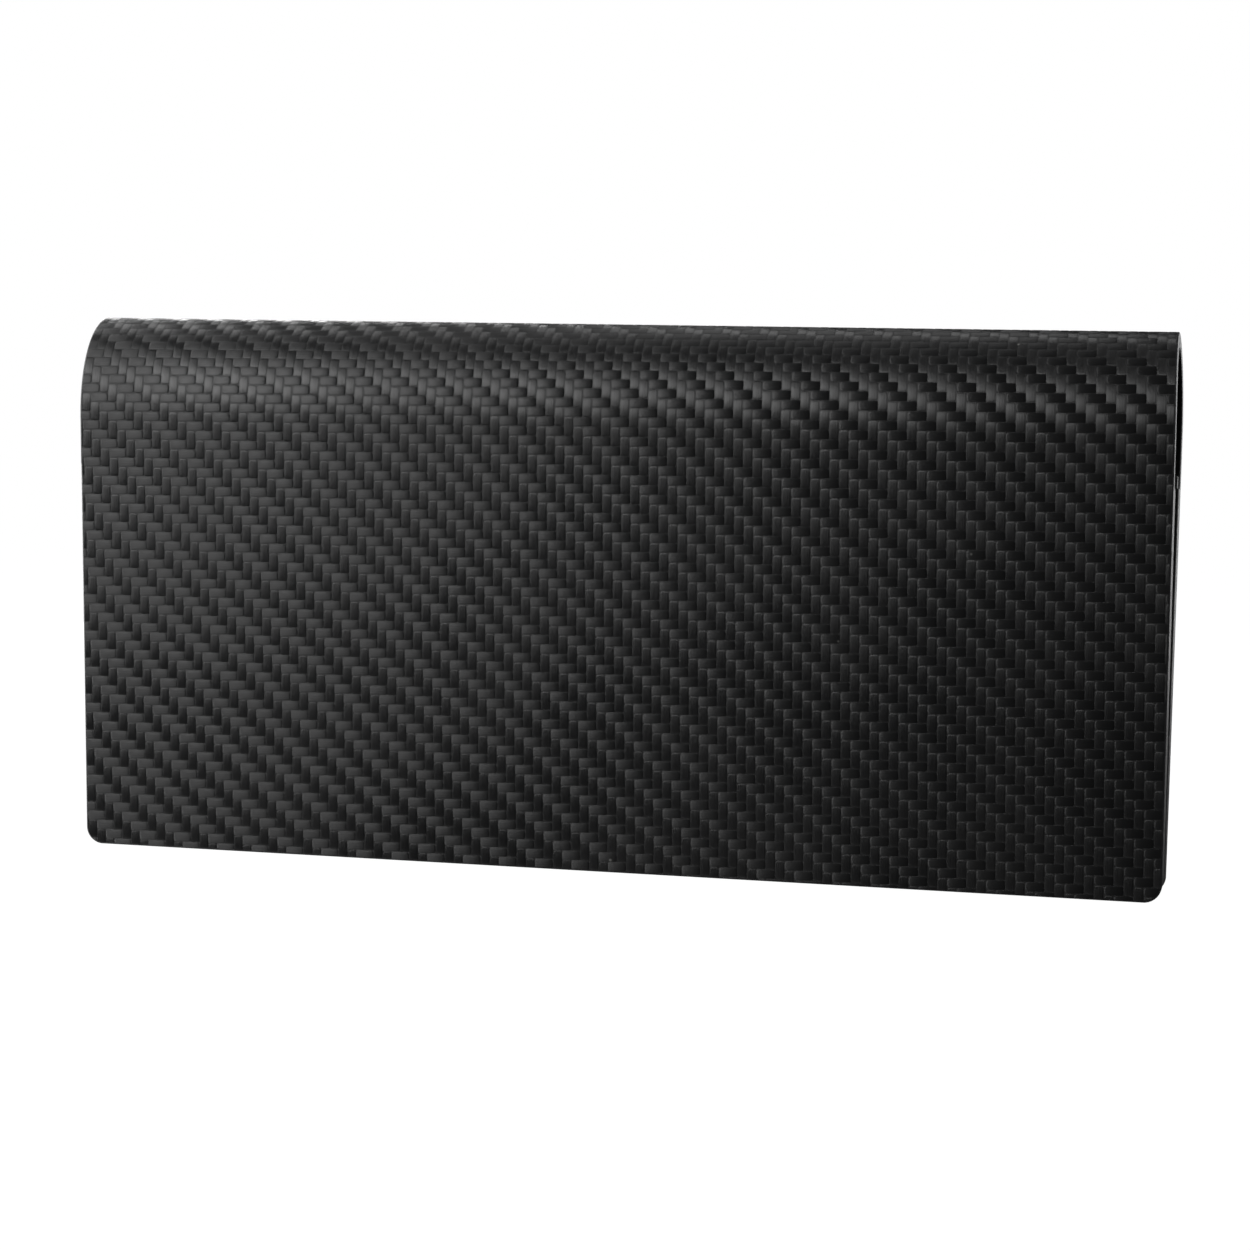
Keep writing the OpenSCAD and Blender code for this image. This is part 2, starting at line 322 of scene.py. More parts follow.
carbon_leather, tree, shader = new_finish("carbon_leather")
weave_map = tree.nodes.new("ShaderNodeUVMap")
weave_map.uv_map = "weave"
split = tree.nodes.new("ShaderNodeSeparateXYZ")
tree.links.new(weave_map.outputs["UV"], split.inputs[0])
column, row = split.outputs["X"], split.outputs["Y"]
column_cell, row_cell = calc(tree, "FLOOR", column), calc(tree, "FLOOR", row)
in_column, in_row = calc(tree, "SUBTRACT", column, column_cell), calc(tree, "SUBTRACT", row, row_cell)
place = calc(tree, "FLOORED_MODULO", calc(tree, "SUBTRACT", column_cell, row_cell), 4.0)
lengthwise = calc(tree, "LESS_THAN", place, 1.5)
crosswise = calc(tree, "SUBTRACT", 1.0, lengthwise)
second_cell = calc(tree, "COMPARE", calc(tree, "ABSOLUTE", calc(tree, "SUBTRACT", place, 1.5)), 0.5, 0.1)


def pick(tree, first, second):
    """The first value on a lengthwise block and the second on a crosswise block."""
    return calc(tree, "ADD", calc(tree, "MULTIPLY", first, lengthwise),
                calc(tree, "MULTIPLY", second, crosswise))


along = calc(tree, "ADD", pick(tree, in_column, in_row), second_cell)
across = pick(tree, in_row, in_column)
from_middle = calc(tree, "ABSOLUTE", calc(tree, "SUBTRACT", along, 1.0))
from_line = calc(tree, "ABSOLUTE", calc(tree, "SUBTRACT", across, 0.5))
block_round = 0.3
past_end = calc(tree, "SUBTRACT", from_middle, 1.0 - block_round)
past_side = calc(tree, "SUBTRACT", from_line, 0.5 - block_round)
round_corner = calc(
    tree, "SQRT", calc(tree, "ADD", calc(tree, "POWER", calc(tree, "MAXIMUM", past_end, 0.0), 2.0),
                       calc(tree, "POWER", calc(tree, "MAXIMUM", past_side, 0.0), 2.0)))
inner_side = calc(tree, "MINIMUM", calc(tree, "MAXIMUM", past_end, past_side), 0.0)
to_rim = calc(tree, "SUBTRACT", block_round, calc(tree, "ADD", round_corner, inner_side))
pillow = ramp(tree, to_rim, 0.0, 0.17)
end_drop = calc(tree, "POWER", from_middle, 2.0)
side_drop = calc(tree, "POWER", from_line, 2.0)
crown = calc(tree, "ADD", calc(tree, "MULTIPLY", end_drop, 0.55), calc(tree, "MULTIPLY", side_drop, 0.5))
groove = calc(tree, "MULTIPLY", calc(tree, "SUBTRACT", 1.0, pillow), 0.28)
block = calc(tree, "SUBTRACT", calc(tree, "SUBTRACT", 1.0, crown), groove)
thread_line = calc(tree, "SINE", calc(tree, "MULTIPLY", across, 2 * math.pi * 4))
thread_blur = speckle(tree, weave_map.outputs["UV"], 6.0, 3.0)
thread = calc(tree, "MULTIPLY", thread_line, ramp(tree, thread_blur, 0.35, 0.65))
object_place = tree.nodes.new("ShaderNodeTexCoord").outputs["Object"]
grain = speckle(tree, object_place, 5200.0, 3.0)
wear = speckle(tree, object_place, 45.0, 4.0)
dust_spot = tree.nodes.new("ShaderNodeTexVoronoi")
dust_spot.inputs["Scale"].default_value = 160.0
tree.links.new(object_place, dust_spot.inputs["Vector"])
dust_pick = speckle(tree, object_place, 90.0, 0.0)
dust = calc(tree, "MULTIPLY", ramp(tree, dust_spot.outputs["Distance"], 0.03, 0.06, 1.0, 0.0),
            ramp(tree, dust_pick, 0.62, 0.66))
from_fold = calc(tree, "ABSOLUTE", calc(tree, "SUBTRACT", row, fold_row))
pressed = ramp(tree, from_fold, flat_rows, full_rows, flat_share, 1.0)
height = calc(tree, "ADD", calc(tree, "MULTIPLY", block, pressed), calc(tree, "MULTIPLY", thread, 0.045))
height = calc(tree, "ADD", height, calc(tree, "MULTIPLY", grain, 0.12))
tree.links.new(raise_surface(tree, height, 0.1 * mm), shader.inputs["Normal"])
# Lengthwise blocks are coloured a little lighter than crosswise ones: painted sheen, standing in for the
# brighter reflection of the lengthwise blocks. The wear patches and dust specks laid over it are the
# leather's own marks.
leather_colour_and_painted_sheen = blend_colour(tree, crosswise, (0.0085, 0.0087, 0.0090), (0.0060, 0.0062, 0.0065))
leather_colour_and_painted_sheen = blend_colour(tree, ramp(tree, wear, 0.35, 0.75), leather_colour_and_painted_sheen, (0.0105, 0.0105, 0.0107))
leather_colour_and_painted_sheen = blend_colour(tree, calc(tree, "MULTIPLY", dust, 0.6), leather_colour_and_painted_sheen, (0.20, 0.20, 0.19))
tree.links.new(leather_colour_and_painted_sheen, shader.inputs["Base Color"])
rough = calc(tree, "ADD", ramp(tree, wear, 0.3, 0.7, 0.40, 0.46),
             calc(tree, "MULTIPLY", calc(tree, "SUBTRACT", 1.0, pillow), 0.12))
tree.links.new(rough, shader.inputs["Roughness"])
shader.inputs["Anisotropic"].default_value = 0.85
shader.inputs["Specular IOR Level"].default_value = 0.6
surface = tree.nodes.new("ShaderNodeNewGeometry")
sideways = tree.nodes.new("ShaderNodeVectorMath")
sideways.operation = "CROSS_PRODUCT"
tree.links.new(surface.outputs["Normal"], sideways.inputs[0])
sideways.inputs[1].default_value = (1, 0, 0)
sheen_way = tree.nodes.new("ShaderNodeMix")
sheen_way.data_type = "VECTOR"
tree.links.new(crosswise, sheen_way.inputs["Factor"])
tree.links.new(sideways.outputs["Vector"], sheen_way.inputs[4])
sheen_way.inputs[5].default_value = (1, 0, 0)
tree.links.new(sheen_way.outputs[1], shader.inputs["Tangent"])
for back in (False, True):
    name = "cover_back" if back else "cover_front"
    half = add_piece("embossed_" + name, emboss_cover(back), carbon_leather)
    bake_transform(half)
    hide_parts(*([name] if back else [name, "cover_spine"]))

# --- Backing ------------------------------------------------------------------------------
# A bonded fibre board, 0.6 mm thick, glued to the flesh side of the cover and kept 2 mm short
# of its cut edges. It stiffens the leaves and is thin enough to bend with the fold.
backing_thickness = 0.6 * mm


def push_out(bm, faces, way, keep):
    """Extrudes some faces by a vector, and keeps the faces they grew from if asked."""
    grown = bmesh.ops.extrude_face_region(bm, geom=faces, use_keep_orig=keep)["geom"]
    moved = [v for v in grown if isinstance(v, bmesh.types.BMVert)]
    bmesh.ops.translate(bm, vec=way, verts=moved)


def thicken(bm, thickness):
    """Gives a flat pattern its thickness, inwards from the outer side."""
    push_out(bm, bm.faces[:], (0, 0, -thickness), True)
    bmesh.ops.recalc_face_normals(bm, faces=bm.faces[:])


def cut_sheet(name, depth, thickness, edge, back):
    """A plain sheet of one leaf and its half of the fold, at a depth under the outer face."""
    bm = bmesh.new()
    bmesh.ops.create_grid(bm, x_segments=16, y_segments=48, size=1.1)
    bmesh.ops.scale(bm, vec=(high.x, leaf_down, 1), verts=bm.verts)
    trim_leaf(bm, edge, max(corner_radius - edge, 0.5 * mm))
    for cut in bend_lines:
        cut_across(bm, (0, cut, 0))
    thicken(bm, thickness)
    bmesh.ops.translate(bm, vec=(0, 0, -depth), verts=bm.verts)
    mesh = to_mesh(bm, name)
    wrap_leaf(mesh, back)
    return mesh


def bend_with_fold(piece):
    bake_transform(piece)


backing_board, tree, shader = new_finish("backing_board")
object_place = tree.nodes.new("ShaderNodeTexCoord").outputs["Object"]
fibre = speckle(tree, object_place, 900.0, 4.0)
tree.links.new(blend_colour(tree, fibre, (0.10, 0.07, 0.045), (0.20, 0.15, 0.10)),
               shader.inputs["Base Color"])
tree.links.new(raise_surface(tree, fibre, 0.05 * mm), shader.inputs["Normal"])
shader.inputs["Roughness"].default_value = 0.9
for back in (False, True):
    side = "back" if back else "front"
    mesh = cut_sheet("board_" + side, cover_thickness, backing_thickness, 2 * mm, back)
    board = add_piece("board_" + side, mesh, backing_board)
    bend_with_fold(board)
    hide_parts(*(["backing_back"] if back else ["backing_front", "backing_spine"]))

# --- Lining -------------------------------------------------------------------------------
# Thin smooth goatskin, 0.6 mm thick, pasted over the backing on the inside of both leaves and
# of the fold. It is dyed black, with a fine natural grain.
lining_thickness = 0.6 * mm
lining_depth = cover_thickness + backing_thickness
pocket_depth = lining_depth + lining_thickness
smooth_leather, tree, shader = new_finish("smooth_leather")
object_place = tree.nodes.new("ShaderNodeTexCoord").outputs["Object"]
pores = tree.nodes.new("ShaderNodeTexVoronoi")
pores.feature = "DISTANCE_TO_EDGE"
pores.inputs["Scale"].default_value = 1500.0
tree.links.new(object_place, pores.inputs["Vector"])
pebble = ramp(tree, pores.outputs["Distance"], 0.0, 0.22)
soft_grain = speckle(tree, object_place, 420.0, 5.0)
patches = speckle(tree, object_place, 38.0, 3.0)
height = calc(tree, "ADD", calc(tree, "MULTIPLY", pebble, 0.5), soft_grain)
tree.links.new(raise_surface(tree, height, 0.06 * mm), shader.inputs["Normal"])
hide = blend_colour(tree, ramp(tree, patches, 0.3, 0.7), (0.017, 0.0166, 0.0163), (0.027, 0.0265, 0.026))
# The creases between the grain pebbles are coloured darker: painted shade in the grain.
hide = blend_colour(tree, calc(tree, "MULTIPLY", calc(tree, "SUBTRACT", 1.0, pebble), 0.6), hide,
                    (0.006, 0.006, 0.006))
tree.links.new(hide, shader.inputs["Base Color"])
tree.links.new(ramp(tree, soft_grain, 0.3, 0.7, 0.42, 0.58), shader.inputs["Roughness"])
shader.inputs["Specular IOR Level"].default_value = 0.5
for back in (False, True):
    side = "back" if back else "front"
    mesh = cut_sheet("goatskin_" + side, lining_depth, lining_thickness, paint_thickness, back)
    skin = add_piece("goatskin_" + side, mesh, smooth_leather)
    bend_with_fold(skin)
    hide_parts(*(["lining_back"] if back else ["lining_front", "lining_spine"]))

# --- Banknote panels ----------------------------------------------------------------------
# A smooth leather panel on each leaf, 0.6 mm thick, glued down along its sides and foot by a
# raised border, so that it makes a banknote pocket that is open towards the fold.
panel_thickness, note_gap, border = 0.6 * mm, 0.5 * mm, 4 * mm
panel_depth = pocket_depth + note_gap
slots_depth = panel_depth + panel_thickness
lean_scale = math.hypot(1, lean_slope)
panel_half = high.x - paint_thickness
soft_edge = 0.14 * mm


def up_leaf(height):
    """Place up the flat pattern of a leaf for a height above the table."""
    return height * lean_scale - leaf_down


def flat_panel(x_low, x_high, z_low, z_high):
    """A plain flat rectangle in the pattern of a leaf, before it is trimmed to the outline."""
    bm = bmesh.new()
    bmesh.ops.create_grid(bm, x_segments=1, y_segments=1, size=0.5)
    middle = ((x_low + x_high) / 2, (up_leaf(z_low) + up_leaf(z_high)) / 2, 0)
    bmesh.ops.scale(bm, vec=(x_high - x_low, up_leaf(z_high) - up_leaf(z_low), 1), verts=bm.verts)
    bmesh.ops.translate(bm, vec=middle, verts=bm.verts)
    return bm


def soften_edges(bm, width, steps=2):
    """Rounds every square edge a little, as a burnished leather edge is."""
    square = [e for e in bm.edges if e.calc_face_angle(0) > 1]
    bmesh.ops.bevel(bm, geom=square, offset=width, offset_type="OFFSET", segments=steps, profile=0.5,
                    affect="EDGES", clamp_overlap=True, material=-1)


for back in (False, True):
    side = "back" if back else "front"
    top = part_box("note_panel_" + side)[1].z
    bm = flat_panel(-panel_half, panel_half, low.z, top)
    for point, out in (((border - panel_half, 0, 0), (1, 0, 0)), ((panel_half - border, 0, 0), (1, 0, 0)),
                       ((0, up_leaf(border), 0), (0, 1, 0))):
        cut_across(bm, point, out)
    trim_leaf(bm, paint_thickness, corner_radius - paint_thickness)
    edge_faces = [f for f in bm.faces if abs(f.calc_center_median().x) > panel_half - border
                  or f.calc_center_median().y < up_leaf(border)]
    thicken(bm, panel_thickness)
    push_out(bm, edge_faces, (0, 0, note_gap), False)
    bmesh.ops.translate(bm, vec=(0, 0, -panel_depth), verts=bm.verts)
    soften_edges(bm, soft_edge)
    mesh = to_mesh(bm, "banknote_panel_" + side)
    wrap_leaf(mesh, back)
    panel = add_piece("banknote_panel_" + side, mesh, smooth_leather)
    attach(panel, side + "_leaf")
    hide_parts("note_panel_" + side)

# --- Card slots ---------------------------------------------------------------------------
# Six pockets in two columns on the front leaf, each one layer of smooth leather 0.55 mm thick
# with its mouth turned over and creased. The layers are stepped, so that each mouth shows.
slot_thickness, turned_lip = 0.55 * mm, 4 * mm
crease_drop, crease_half = 1.3 * mm, 0.3 * mm
crease_dent, lip_rise = 0.16 * mm, 0.14 * mm


def lay_card_slot(name, number):
    first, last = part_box(name)
    bm = flat_panel(first.x, last.x, first.z, last.z)
    mouth = up_leaf(last.z)
    for drop in (crease_drop - crease_half, crease_drop, crease_drop + crease_half,
                 turned_lip, turned_lip + crease_half):
        cut_across(bm, (0, mouth - drop, 0))
    trim_leaf(bm, paint_thickness, corner_radius - paint_thickness)
    thicken(bm, slot_thickness)
    for v in bm.verts:
        if v.co.z < -slot_thickness / 2:
            if abs(mouth - crease_drop - v.co.y) < 1e-6:
                v.co.z += crease_dent
            if v.co.y > mouth - turned_lip - 1e-6:
                v.co.z -= lip_rise
    soften_edges(bm, soft_edge)
    bmesh.ops.translate(bm, vec=(0, 0, -slots_depth - (number - 1) * slot_thickness), verts=bm.verts)
    mesh = to_mesh(bm, name)
    wrap_leaf(mesh, False)
    return mesh


for column_side in ("left", "right"):
    for number in (1, 2, 3):
        node = f"card_slot_{column_side}_{number}"
        pocket = add_piece(f"card_pocket_{column_side}_{number}", lay_card_slot(node, number), smooth_leather)
        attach(pocket, "front_leaf")
        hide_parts(node)

# --- Coin pocket --------------------------------------------------------------------------
# A front wall of soft leather that leans away from the back leaf, with a pleated gusset at
# each side. The wall's edges are burnished round, and the gussets are sewn into the leaf.
wall_low, wall_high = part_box("coin_front_wall")
wall_foot, wall_thickness, foot_step = 3 * mm, 0.6 * mm, 1.2 * mm
mouth_inner = wall_low.y + wall_thickness
fullness, ripple = 0.42 * mm, 0.11 * mm


def back_face(height, depth):
    """Place across the back leaf of a layer at a depth under its outer face."""
    return half_open + lean_slope * height - depth * lean_scale


def wall_inner(height):
    foot = back_face(min(height, wall_foot), slots_depth) - foot_step
    rise = max(height - wall_foot, 0) / (wall_high.z - wall_foot)
    return foot + (mouth_inner - foot) * rise


def wall_sag(x, height):
    """How far the soft wall stands out of its plane: fuller low in the middle, with soft waves."""
    up = max(height - wall_foot, 0) / (wall_high.z - wall_foot)
    across = x / wall_high.x
    full = math.sin(math.pi * up ** 0.8) * (1 - across ** 4)
    wave = math.sin(9 * across + 2.2 * up) + 0.6 * math.sin(23 * across - 3.1 * up)
    return full * (fullness + ripple * wave)


bm = bmesh.new()
bmesh.ops.create_grid(bm, x_segments=96, y_segments=40, size=0.5)
for v in bm.verts:
    x = v.co.x * (wall_high.x - wall_low.x)
    height = wall_low.z + (v.co.y + 0.5) * (wall_high.z - wall_low.z)
    v.co = (x, wall_inner(height) - wall_sag(x, height), height)
push_out(bm, bm.faces[:], (0, -wall_thickness, 0), True)
bmesh.ops.recalc_face_normals(bm, faces=bm.faces[:])
soften_edges(bm, 0.2 * mm, 3)
coin_wall = add_piece("coin_wall", to_mesh(bm, "coin_wall"), smooth_leather)
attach(coin_wall, "back_leaf")
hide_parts("coin_front_wall")
pleat_depth, pleat_thickness = 3.2 * mm, 0.5 * mm
below_mouth, behind_end = 0.6 * mm, 0.2 * mm
for gusset_side, sign in (("left", -1), ("right", 1)):
    flange_x = sorted((-sign * wall_high.x, -sign * panel_half))
    bm = flat_panel(flange_x[0], flange_x[1], low.z, wall_high.z)
    trim_leaf(bm, paint_thickness, corner_radius - paint_thickness)
    thicken(bm, slot_thickness * 3)
    soften_edges(bm, soft_edge)
    bmesh.ops.translate(bm, vec=(0, 0, -slots_depth), verts=bm.verts)
    mesh = to_mesh(bm, "gusset_flange_" + gusset_side)
    wrap_leaf(mesh, True)
    flange = add_piece("gusset_flange_" + gusset_side, mesh, smooth_leather)
    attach(flange, "back_leaf")
    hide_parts("coin_gusset_" + gusset_side)
    bm = bmesh.new()
    bmesh.ops.create_grid(bm, x_segments=14, y_segments=20, size=0.5)
    for v in bm.verts:
        share, up = v.co.x + 0.5, v.co.y + 0.5
        height = wall_foot + up * (wall_high.z - below_mouth - wall_foot)
        y = back_face(height, slots_depth) * (1 - share) + wall_inner(height) * share
        tuck = pleat_depth * up * math.sin(math.pi * share) ** 1.4
        v.co = (sign * (wall_high.x - behind_end - tuck), y, height)
    push_out(bm, bm.faces[:], (-sign * pleat_thickness, 0, 0), True)
    bmesh.ops.recalc_face_normals(bm, faces=bm.faces[:])
    pleat = add_piece("gusset_pleat_" + gusset_side, to_mesh(bm, "gusset_pleat"), smooth_leather)
    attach(pleat, "back_leaf")

# --- Zip ----------------------------------------------------------------------------------
# A number 3 nylon coil zip. Two woven polyester tapes carry a wound coil each, and crimped
# metal stops close both ends. The slider and its pull tab are cast zinc with a gunmetal plate.
tape_thickness, tape_bend = 0.35 * mm, 0.8 * mm
warp_pitch, weft_pitch, zigzag_half = 0.42 * mm, 0.36 * mm, 0.9 * mm
zip_fabric, tree, shader = new_finish("zip_fabric")
tape_map = tree.nodes.new("ShaderNodeUVMap")
tape_map.uv_map = "tape"
split = tree.nodes.new("ShaderNodeSeparateXYZ")
tree.links.new(tape_map.outputs["UV"], split.inputs[0])
warp = calc(tree, "SINE", calc(tree, "MULTIPLY", split.outputs["Y"], 2 * math.pi / warp_pitch))
zigzag = calc(tree, "PINGPONG", split.outputs["Y"], zigzag_half)
weft = calc(tree, "SINE", calc(tree, "MULTIPLY", calc(tree, "ADD", split.outputs["X"], zigzag),
                               2 * math.pi / weft_pitch))
rib = calc(tree, "ADD", calc(tree, "MULTIPLY", warp, 0.5), weft)
tree.links.new(raise_surface(tree, rib, 0.035 * mm), shader.inputs["Normal"])
# The tape's colour follows the weave's relief, darker in its hollows and lighter on its raised threads:
# painted shade and painted highlight.
tree.links.new(blend_colour(tree, ramp(tree, rib, -1.2, 1.2), (0.006, 0.006, 0.007), (0.024, 0.024, 0.026)),
               shader.inputs["Base Color"])
shader.inputs["Roughness"].default_value = 0.85
shader.inputs["Sheen Weight"].default_value = 0.25
for tape_side, leg_y in (("back", 6.15 * mm), ("front", -1.0 * mm)):
    first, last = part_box("zip_tape_" + tape_side)
    coil_low, coil_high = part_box("zip_coil_" + tape_side)
    inner = coil_low.y if tape_side == "back" else coil_high.y
    outward = 1 if tape_side == "back" else -1
    flat_z = last.z - tape_thickness / 2
    flat_run = abs(leg_y - inner) - tape_bend
    bend_run = tape_bend * math.pi / 2
    leg_run = flat_z - tape_bend - first.z
    tape_width = flat_run + bend_run + leg_run
    bm = bmesh.new()
    bmesh.ops.create_grid(bm, x_segments=60, y_segments=40, size=0.5)
    tape_uv = bm.loops.layers.uv.new("tape")
    for f in bm.faces:
        for loop in f.loops:
            loop[tape_uv].uv = (loop.vert.co.x * (last.x - first.x), (loop.vert.co.y + 0.5) * tape_width)
    for v in bm.verts:
        run = (v.co.y + 0.5) * tape_width
        turn_angle = min(max((run - flat_run) / tape_bend, 0), math.pi / 2)
        y = inner + outward * (min(run, flat_run) + tape_bend * math.sin(turn_angle))
        z = flat_z - tape_bend * (1 - math.cos(turn_angle)) - max(run - flat_run - bend_run, 0)
        v.co = (v.co.x * (last.x - first.x), y, z)
    bmesh.ops.recalc_face_normals(bm, faces=bm.faces[:])
    bmesh.ops.solidify(bm, geom=bm.faces[:], thickness=tape_thickness)
    bmesh.ops.recalc_face_normals(bm, faces=bm.faces[:])
    tape = add_piece("woven_tape_" + tape_side, to_mesh(bm, "woven_tape"), zip_fabric)
    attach(tape, "back_leaf")
    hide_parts("zip_tape_" + tape_side)

zip_coil, tree, shader = new_finish("zip_coil")
object_place = tree.nodes.new("ShaderNodeTexCoord").outputs["Object"]
haze = speckle(tree, object_place, 700.0, 3.0)
tree.links.new(blend_colour(tree, haze, (0.008, 0.008, 0.009), (0.022, 0.022, 0.024)),
               shader.inputs["Base Color"])
tree.links.new(ramp(tree, haze, 0.3, 0.7, 0.28, 0.42), shader.inputs["Roughness"])
tree.links.new(raise_surface(tree, haze, 0.01 * mm), shader.inputs["Normal"])
coil_step, coil_thread = 1.25 * mm, 0.23 * mm
for coil_side, shift in (("back", 0.0), ("front", 0.5)):
    first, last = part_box("zip_coil_" + coil_side)
    turns = int((last.x - first.x - 2 * coil_thread) / coil_step - 0.5)
    radius = (last.z - first.z) / 2 - coil_thread
    bm = bmesh.new()
    bmesh.ops.create_circle(bm, segments=6, radius=coil_thread, matrix=Matrix.Translation((0, radius, 0)))
    bmesh.ops.spin(bm, geom=bm.verts[:] + bm.edges[:], cent=(0, 0, 0), axis=(1, 0, 0),
                   dvec=(coil_step / 12, 0, 0), angle=2 * math.pi * turns, steps=12 * turns, use_merge=False)
    for end_x in (min, max):
        tip = end_x((e for e in bm.edges if e.is_boundary), key=lambda e: e.verts[0].co.x + e.verts[1].co.x)
        ring, grown = {tip}, True
        while grown:
            grown = {e for r in ring for v in r.verts for e in v.link_edges if e.is_boundary} - ring
            ring |= grown
        bmesh.ops.contextual_create(bm, geom=list(ring))
    bmesh.ops.recalc_face_normals(bm, faces=bm.faces[:])
    bmesh.ops.scale(bm, vec=(1, (last.y - first.y) / (last.z - first.z), 1), verts=bm.verts)
    start_x = (first.x + last.x - turns * coil_step) / 2 + (shift - 0.25) * coil_step
    bmesh.ops.translate(bm, vec=(start_x, (first.y + last.y) / 2, (first.z + last.z) / 2), verts=bm.verts)
    coil = add_piece("wound_coil_" + coil_side, to_mesh(bm, "wound_coil", math.pi), zip_coil)
    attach(coil, "back_leaf")
    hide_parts("zip_coil_" + coil_side)

zip_metal, tree, shader = new_finish("zip_metal")
object_place = tree.nodes.new("ShaderNodeTexCoord").outputs["Object"]
tarnish = speckle(tree, object_place, 600.0, 4.0)
scratch = speckle(tree, object_place, 900.0, 2.0, (0.15, 1, 1))
tree.links.new(blend_colour(tree, tarnish, (0.26, 0.26, 0.27), (0.42, 0.42, 0.43)),
               shader.inputs["Base Color"])
tree.links.new(ramp(tree, tarnish, 0.3, 0.7, 0.24, 0.38), shader.inputs["Roughness"])
tree.links.new(raise_surface(tree, scratch, 0.012 * mm), shader.inputs["Normal"])
shader.inputs["Metallic"].default_value = 1.0
first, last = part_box("zip_end_stops")
bm = bmesh.new()
stop_size = Vector((1.6 * mm, last.y - first.y, last.z - first.z))
for x in (first.x + stop_size.x / 2, last.x - stop_size.x / 2):
    place = Matrix.Translation((x, (first.y + last.y) / 2, (first.z + last.z) / 2))
    bmesh.ops.create_cube(bm, size=1, matrix=place @ Matrix.Diagonal((*stop_size, 1)))
bmesh.ops.bevel(bm, geom=bm.edges[:], offset=0.35 * mm, segments=3, profile=0.5, affect="EDGES", material=-1)
stops = add_piece("crimped_stops", to_mesh(bm, "crimped_stops"), zip_metal)
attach(stops, "back_leaf")
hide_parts("zip_end_stops")
for node in ("zip_slider", "zip_pull"):
    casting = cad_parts[node]
    casting.data.materials.clear()
    casting.data.materials.append(zip_metal)

# --- Stitching ----------------------------------------------------------------------------
# Bonded polyester thread, about 0.45 mm thick, in a lockstitch of 3.2 mm. It holds the
# pockets along the sides and foot of each leaf, down the middle of the card slots, and the
# zip along the mouth of the coin pocket. The cover is glued on last, so none shows outside.
stitch_step, stitch_half, thread_radius, stitch_slant = 3.2 * mm, 1.35 * mm, 0.24 * mm, 7
thread_lift, mouth_clear, layer_clear = 0.08 * mm, 0.8 * mm, 0.4 * mm
thread_finish, tree, shader = new_finish("thread")
object_place = tree.nodes.new("ShaderNodeTexCoord").outputs["Object"]
twist = speckle(tree, object_place, 4000.0, 2.0)
tree.links.new(blend_colour(tree, twist, (0.035, 0.035, 0.037), (0.085, 0.085, 0.088)),
               shader.inputs["Base Color"])
tree.links.new(raise_surface(tree, twist, 0.04 * mm), shader.inputs["Normal"])
shader.inputs["Roughness"].default_value = 0.55


def sew(bm, start, end):
    """A straight row of slightly slanted stitches from one point to another."""
    start, end = Vector(start), Vector(end)
    run = end - start
    count = int(run.length / stitch_step)
    slant = Matrix.Rotation(math.radians(stitch_slant), 3, "Y" if abs(run.z) > 0 else "Z")
    aim = (slant @ run).to_track_quat("Z", "Y").to_matrix().to_4x4()
    for i in range(count):
        middle = start + run * ((i + 0.5) / count)
        shape = Matrix.Diagonal((thread_radius, thread_radius, stitch_half, 1))
        bmesh.ops.create_uvsphere(bm, u_segments=6, v_segments=6, radius=1,
                                  matrix=Matrix.Translation(middle) @ aim @ shape)


slot_mouths = [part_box(f"card_slot_left_{number}")[1].z for number in (1, 2, 3)]
seam_in, middle_seam = 2.2 * mm, 2.4 * mm
seam_x = panel_half - seam_in
layer_tops = [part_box("note_panel_front")[1].z, *slot_mouths, low.z + seam_in]
bm = bmesh.new()
for step in range(4):
    depth = slots_depth + step * slot_thickness + thread_lift
    z_top, z_foot = layer_tops[step] - mouth_clear, layer_tops[step + 1] + layer_clear
    seams = [-seam_x, seam_x] if step == 0 else [-seam_x, -middle_seam, middle_seam, seam_x]
    for x in seams:
        sew(bm, (x, up_leaf(z_top), -depth), (x, up_leaf(z_foot), -depth))
foot_depth = slots_depth + 3 * slot_thickness + thread_lift
for first_x, last_x in ((-seam_x, -middle_seam), (middle_seam, seam_x)):
    sew(bm, (first_x, up_leaf(seam_in), -foot_depth), (last_x, up_leaf(seam_in), -foot_depth))
mesh = to_mesh(bm, "front_seams")
wrap_leaf(mesh, False)
front_seams = add_piece("front_seams", mesh, thread_finish)
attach(front_seams, "front_leaf")
bm = bmesh.new()
for x in (-seam_x, seam_x):
    sew(bm, (x, up_leaf(wall_high.z - 1 * mm), -foot_depth), (x, up_leaf(seam_in), -foot_depth))
mesh = to_mesh(bm, "back_seams")
wrap_leaf(mesh, True)
bm = bmesh.new()
bm.from_mesh(mesh)
mouth_seam_z, foot_seam_z = wall_high.z - 2.2 * mm, 1.6 * mm
for height, reach in ((mouth_seam_z, wall_high.x - 1.5 * mm), (foot_seam_z, wall_high.x - 1 * mm)):
    y = wall_inner(height) - wall_thickness - wall_sag(0, height) * 0.6 - 0.06 * mm
    sew(bm, (-reach, y, height), (reach, y, height))
back_seams = add_piece("back_seams", to_mesh(bm, "back_seams"), thread_finish)
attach(back_seams, "back_leaf")

